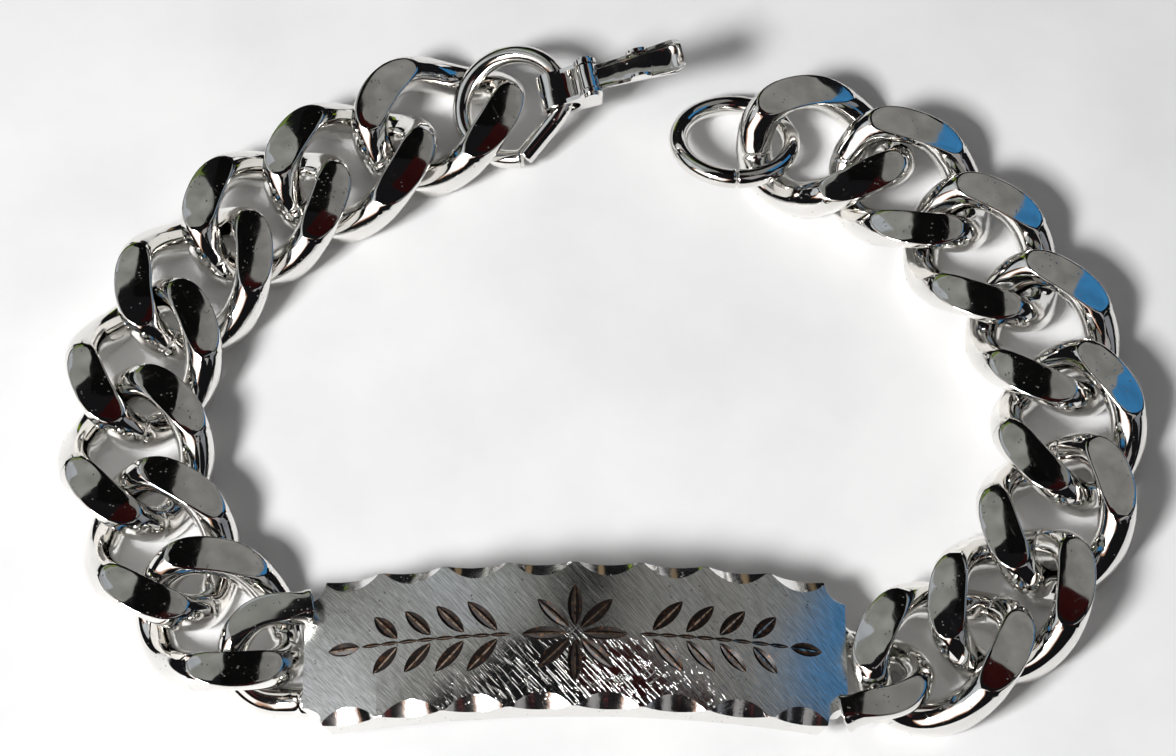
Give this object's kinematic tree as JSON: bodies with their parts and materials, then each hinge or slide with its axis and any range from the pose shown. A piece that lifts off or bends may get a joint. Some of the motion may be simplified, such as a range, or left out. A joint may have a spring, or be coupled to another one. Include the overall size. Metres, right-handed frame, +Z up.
{
  "type": "identity bracelet",
  "caption": "Open curb-chain identity bracelet with an engraved curved plate, soldered loops, a jump ring with a fold-over clasp and an end ring.",
  "frame": {"origin": "middle of the bracelet's footprint, on the surface that it lies on", "axes": "+X along the plate, +Y from the plate to the clasp, +Z up"},
  "size_m": [0.0878, 0.0624, 0.0087],
  "materials": {
    "link_silver": "bright silver plate, ground flat and polished, lightly scratched",
    "plate_silver": "silver plate with a scratched satin face, bright edge cuts and dark engraving",
    "ring_wire": "polished silver wire",
    "clasp_sheet": "polished silver sheet"
  },
  "bodies": {
    "bracelet": {"id_plate": "plate_silver", "link_left_1": "link_silver", "link_left_2": "link_silver", "link_left_3": "link_silver", "link_left_4": "link_silver", "link_left_5": "link_silver", "link_left_6": "link_silver", "link_left_7": "link_silver", "link_left_8": "link_silver", "link_right_1": "link_silver", "link_right_2": "link_silver", "link_right_3": "link_silver", "link_right_4": "link_silver", "link_right_5": "link_silver", "link_right_6": "link_silver", "link_right_7": "link_silver", "link_right_8": "link_silver", "jump_ring": "ring_wire", "clasp_base": "clasp_sheet", "clasp_pin": "clasp_sheet", "end_ring": "ring_wire"},
    "cover": {"clasp_cover": "clasp_sheet"}
  },
  "joints": [
    {"name": "cover_hinge", "type": "hinge", "parent": "bracelet", "child": "cover", "pos_m": [-0.00116, 0.02631, 0.0064], "axis": [0.2129, -0.9519, -0.2203], "range_deg": [0, 170]}
  ]
}
